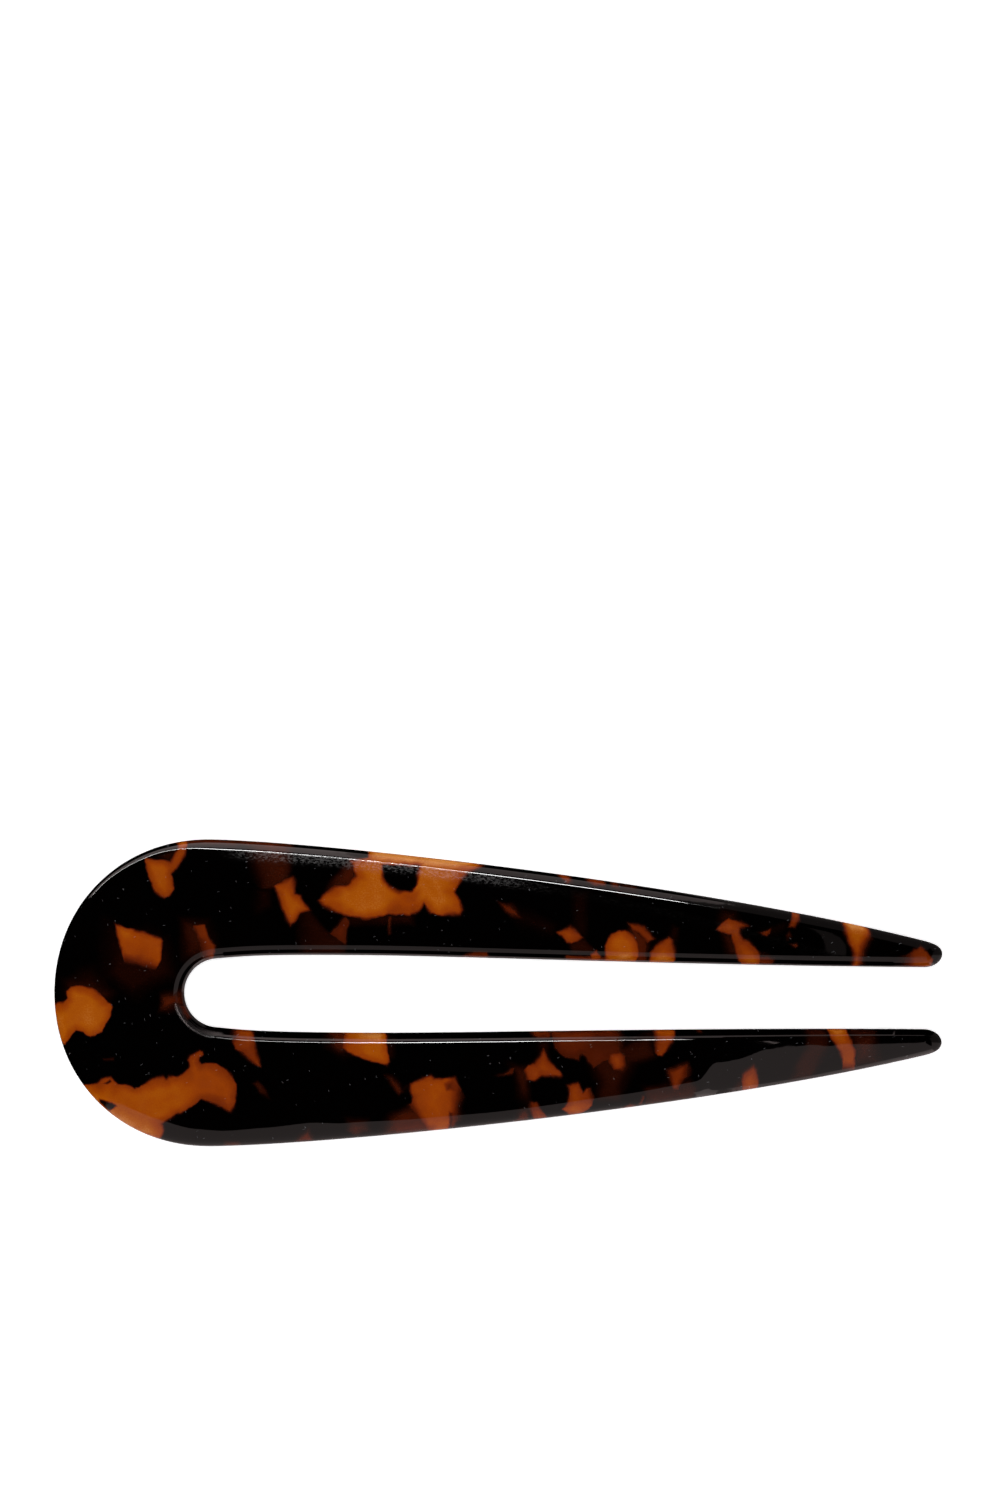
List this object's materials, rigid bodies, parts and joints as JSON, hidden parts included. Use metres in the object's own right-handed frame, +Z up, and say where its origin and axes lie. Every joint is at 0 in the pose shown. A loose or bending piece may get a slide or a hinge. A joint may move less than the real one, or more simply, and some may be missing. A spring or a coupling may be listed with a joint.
{
  "type": "hair pin",
  "caption": "Flat U-shaped hair pin with a wide rounded crown and long tapering prongs, in polished tortoiseshell acetate.",
  "frame": {"origin": "under the middle of the pin's box, on the back face it lies on", "axes": "+X along the pin from the crown to the tips, +Y across it, +Z up through its thickness"},
  "size_m": [0.125, 0.0432, 0.004],
  "materials": {
    "tortoiseshell_acetate": "polished cellulose acetate, near-black with translucent amber and brown patches"
  },
  "bodies": {
    "root": {"hair_pin": "tortoiseshell_acetate"}
  },
  "joints": []
}
